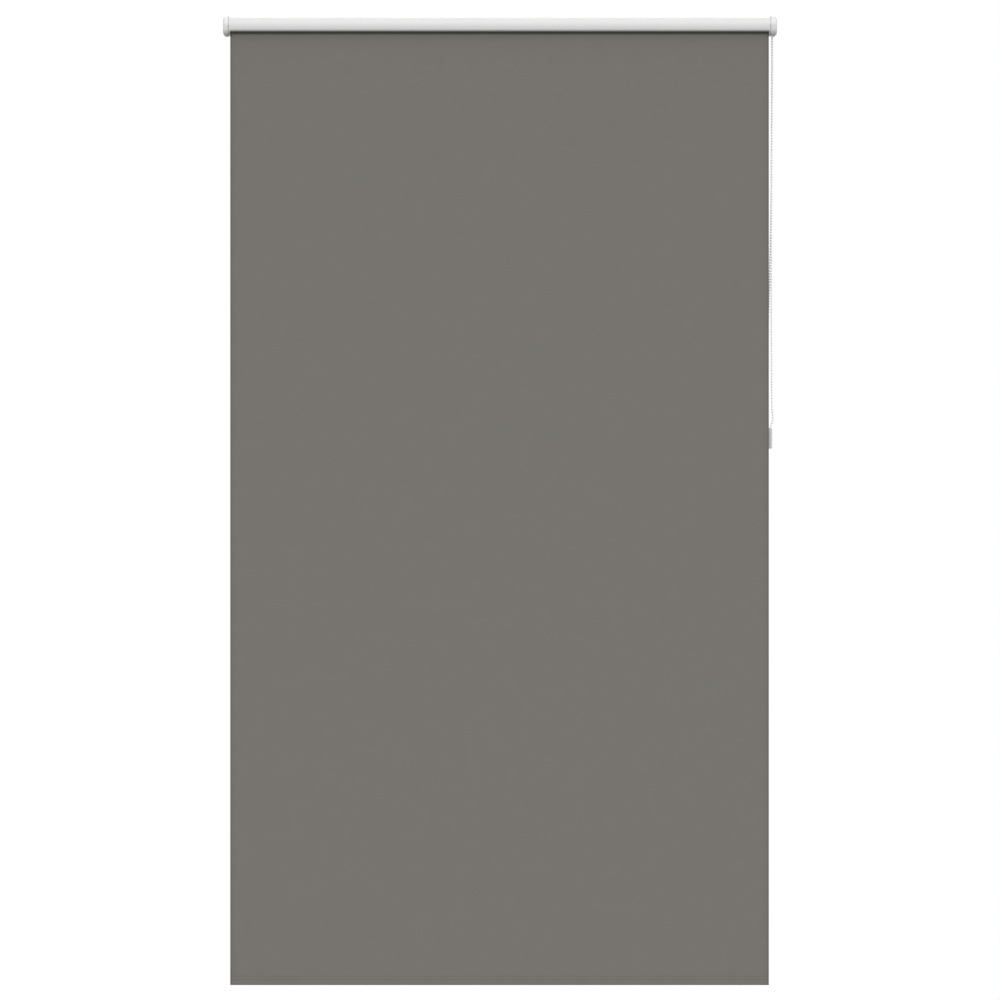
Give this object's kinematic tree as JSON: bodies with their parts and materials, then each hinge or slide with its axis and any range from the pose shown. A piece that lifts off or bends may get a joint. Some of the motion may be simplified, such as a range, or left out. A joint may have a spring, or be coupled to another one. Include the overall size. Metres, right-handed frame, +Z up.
{
  "type": "roller blind",
  "caption": "Chain-operated roller blind with white fascia head box, warm grey blackout cloth, end caps, hidden bottom bar and ball chain with weight.",
  "frame": {"origin": "centre of the four wall-screw holes, on the wall plane, level with the roller axis", "axes": "+X to the right seen from the room, +Y into the wall along the screws, +Z up"},
  "size_m": [1.2, 0.0545, 2.1],
  "materials": {
    "white_paint": "white powder coat, satin",
    "white_plastic": "moulded white, fine texture",
    "grey_plastic": "moulded grey acetal",
    "chain_bead": "white moulded bead",
    "tube_metal": "mill finish, extruded",
    "steel": "zinc plated",
    "spring_steel": "oiled spring steel",
    "cloth": "plain weave blackout polyester, warm grey",
    "tape": "adhesive tape"
  },
  "bodies": {
    "headrail": {"back_rail": "white_paint", "fascia": "white_paint", "left_side_plate": "white_plastic", "right_side_plate": "white_plastic", "left_end_cover": "white_plastic", "right_end_cover": "white_plastic", "end_plate_screws": "steel", "left_wall_clip": "spring_steel", "right_wall_clip": "spring_steel", "idle_bush": "grey_plastic", "clutch_core": "grey_plastic", "clutch_screws": "steel", "core_washer": "steel", "core_screw": "steel", "chain_on_wheel": "chain_bead", "chain_loop": "chain_bead", "chain_connector": "chain_bead", "weight_front_shell": "white_plastic", "weight_rear_shell": "white_plastic", "weight_slug": "steel", "fabric_drop": "cloth"},
    "roller": {"tube": "tube_metal", "tube_tape": "tape", "fabric_roll": "cloth", "tube_adapter": "grey_plastic", "idle_plug": "grey_plastic", "idle_plug_cap": "grey_plastic", "idle_spring": "spring_steel"},
    "chain_wheel": {"chain_wheel": "white_plastic", "wrap_springs": "spring_steel"},
    "idle_pin": {"idle_pin": "steel"},
    "bottom_rail": {"bottom_bar": "tube_metal", "bar_plug_left": "grey_plastic", "bar_plug_right": "grey_plastic", "fabric_hem": "cloth"}
  },
  "joints": [
    {"name": "roller_spin", "type": "hinge", "parent": "headrail", "child": "roller", "pos_m": [0, -0.027, 0], "axis": [-1, 0, 0], "range_deg": [0, 7200]},
    {"name": "chain_wheel_spin", "type": "hinge", "parent": "headrail", "child": "chain_wheel", "pos_m": [0.5902, -0.027, 0], "axis": [-1, 0, 0], "range_deg": [0, 7200], "deforming": ["chain_on_wheel"]},
    {"name": "bottom_rail_slide", "type": "slide", "parent": "headrail", "child": "bottom_rail", "axis": [0, 0, 1], "range_m": [0, 2.025], "deforming": ["fabric_drop"]},
    {"name": "idle_pin_slide", "type": "slide", "parent": "roller", "child": "idle_pin", "axis": [1, 0, 0], "range_m": [0, 0.006], "stiffness_N_per_m": 800, "springref_m": -0.01, "deforming": ["idle_spring"]}
  ],
  "couplings": [
    {"joint": "chain_wheel_spin", "follows": "roller_spin", "ratio": 1},
    {"joint": "bottom_rail_slide", "follows": "roller_spin", "m_per_rad": 0.016114}
  ]
}
